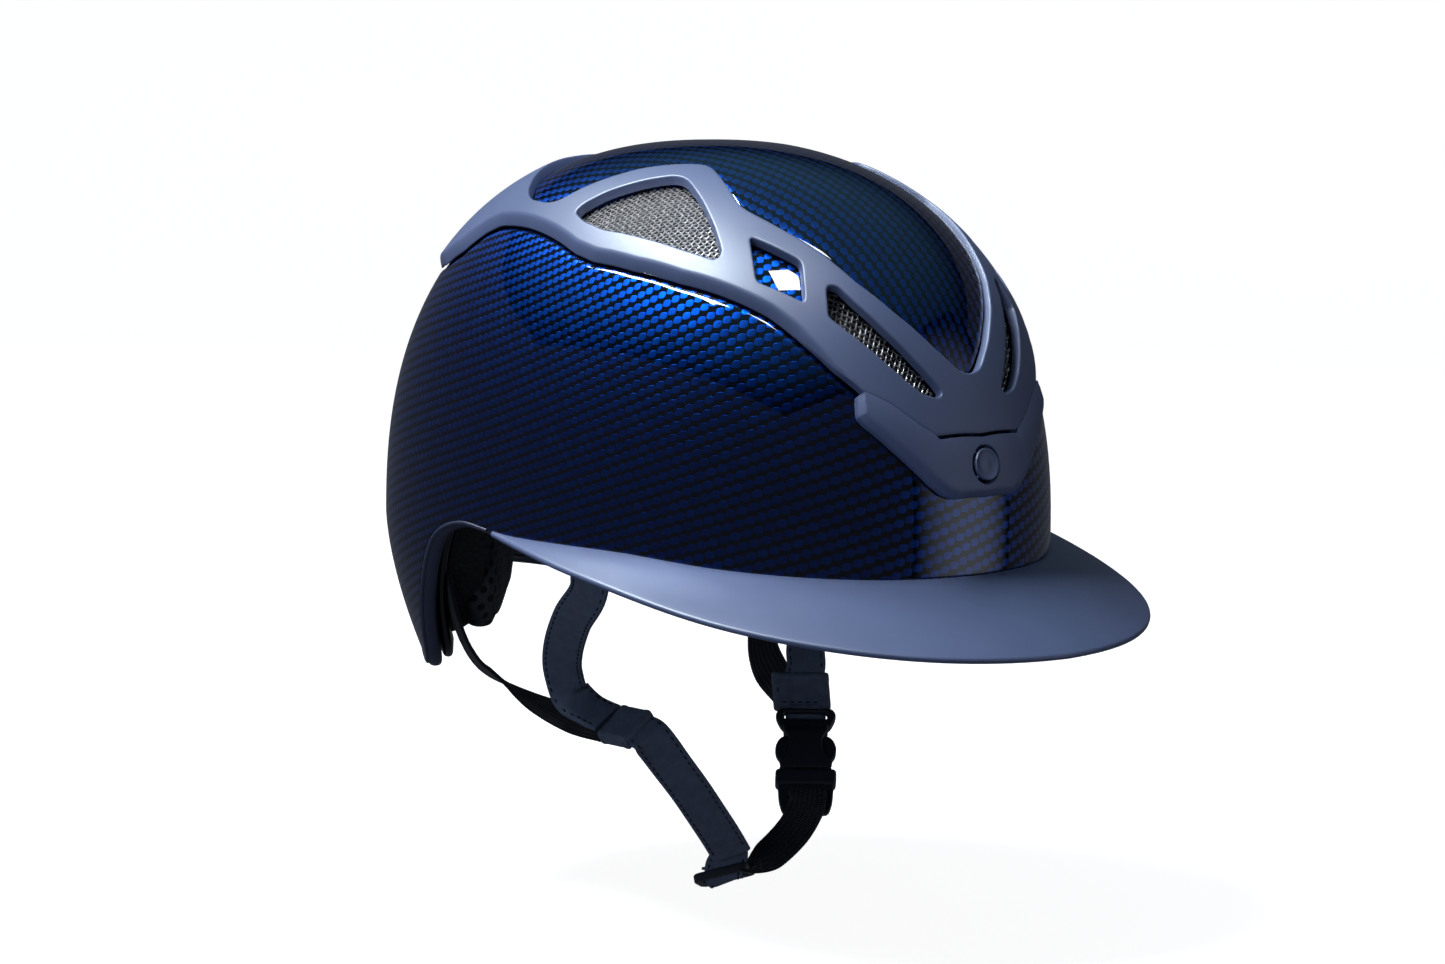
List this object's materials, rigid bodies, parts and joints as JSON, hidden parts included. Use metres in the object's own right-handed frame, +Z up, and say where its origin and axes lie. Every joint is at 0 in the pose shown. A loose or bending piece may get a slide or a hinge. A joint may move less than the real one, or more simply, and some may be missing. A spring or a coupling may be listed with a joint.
{
  "type": "equestrian riding helmet",
  "caption": "Rigid riding helmet with a wide brim, raised vented frame, foam liner, comfort pads and a buckled chin harness.",
  "frame": {"origin": "centre of the head cavity at the level where the shell is widest, on the helmet's middle plane", "axes": "+Z up through the crown, -Y out of the front and over the brim, +X to the wearer's left"},
  "size_m": [0.2438, 0.3334, 0.2976],
  "materials": {
    "carbon": "clear-coated navy carbon twill weave",
    "matte_navy": "satin painted navy",
    "edge_rubber": "matte navy rubber",
    "vent_wire": "woven wire mesh",
    "liner_foam": "moulded black foam",
    "gloss_cover": "glossy black moulding",
    "pad_fabric": "perforated black fabric over foam",
    "strap_leather": "stitched navy leather",
    "strap_webbing": "woven black webbing",
    "buckle_plastic": "moulded black plastic"
  },
  "bodies": {
    "root": {"outer_shell": "carbon", "crown_panel": "carbon", "vent_frame": "matte_navy", "front_plate": "matte_navy", "front_badge": "matte_navy", "side_vent_mesh_left": "vent_wire", "side_vent_mesh_right": "vent_wire", "front_vent_mesh_left": "vent_wire", "front_vent_mesh_right": "vent_wire", "rear_vent_mesh": "vent_wire", "brim": "matte_navy", "edge_trim": "edge_rubber", "rear_inner_cover": "gloss_cover", "foam_liner": "liner_foam", "brow_pad": "pad_fabric", "side_pad_left": "pad_fabric", "side_pad_right": "pad_fabric", "neck_pad_left": "pad_fabric", "neck_pad_right": "pad_fabric", "nape_pad": "pad_fabric", "crown_pad": "pad_fabric", "front_anchor_left": "buckle_plastic", "front_anchor_right": "buckle_plastic", "rear_anchor_left": "buckle_plastic", "rear_anchor_right": "buckle_plastic"},
    "harness": {"front_strap_left": "strap_leather", "front_strap_right": "strap_leather", "rear_strap_left": "strap_webbing", "rear_strap_right": "strap_webbing", "strap_divider_right": "strap_leather", "keeper_sleeve": "strap_leather", "buckle_socket": "buckle_plastic", "chin_strap": "strap_leather", "chin_webbing": "strap_webbing"},
    "buckle_plug": {"buckle_plug": "buckle_plastic"},
    "prong_left": {"buckle_prong_left": "buckle_plastic"},
    "prong_right": {"buckle_prong_right": "buckle_plastic"},
    "chin_adjuster": {"chin_adjuster": "buckle_plastic"}
  },
  "joints": [
    {"name": "harness_swing", "type": "hinge", "parent": "root", "child": "harness", "pos_m": [0, -0.0068, -0.01], "axis": [1, 0, 0], "range_deg": [-15, 20], "deforming": ["front_strap_left", "front_strap_right", "rear_strap_left", "rear_strap_right"]},
    {"name": "buckle_release", "type": "slide", "parent": "harness", "child": "buckle_plug", "axis": [-0.3472, -0.3705, -0.8615], "range_m": [0, 0.022], "deforming": ["chin_webbing"]},
    {"name": "prong_squeeze_left", "type": "hinge", "parent": "buckle_plug", "child": "prong_left", "pos_m": [0.04442, -0.02331, -0.10516], "axis": [-0.589, -0.6286, 0.5078], "range_deg": [0, 7], "stiffness_Nm_per_rad": 0.05},
    {"name": "prong_squeeze_right", "type": "hinge", "parent": "buckle_plug", "child": "prong_right", "pos_m": [0.03464, -0.01415, -0.10516], "axis": [0.589, 0.6286, -0.5078], "range_deg": [0, 7], "stiffness_Nm_per_rad": 0.05},
    {"name": "adjuster_slide", "type": "slide", "parent": "harness", "child": "chin_adjuster", "axis": [0.333, 0.624, -0.707], "range_m": [0, 0.006]}
  ],
  "couplings": [
    {"joint": "prong_squeeze_right", "follows": "prong_squeeze_left", "ratio": 1}
  ]
}
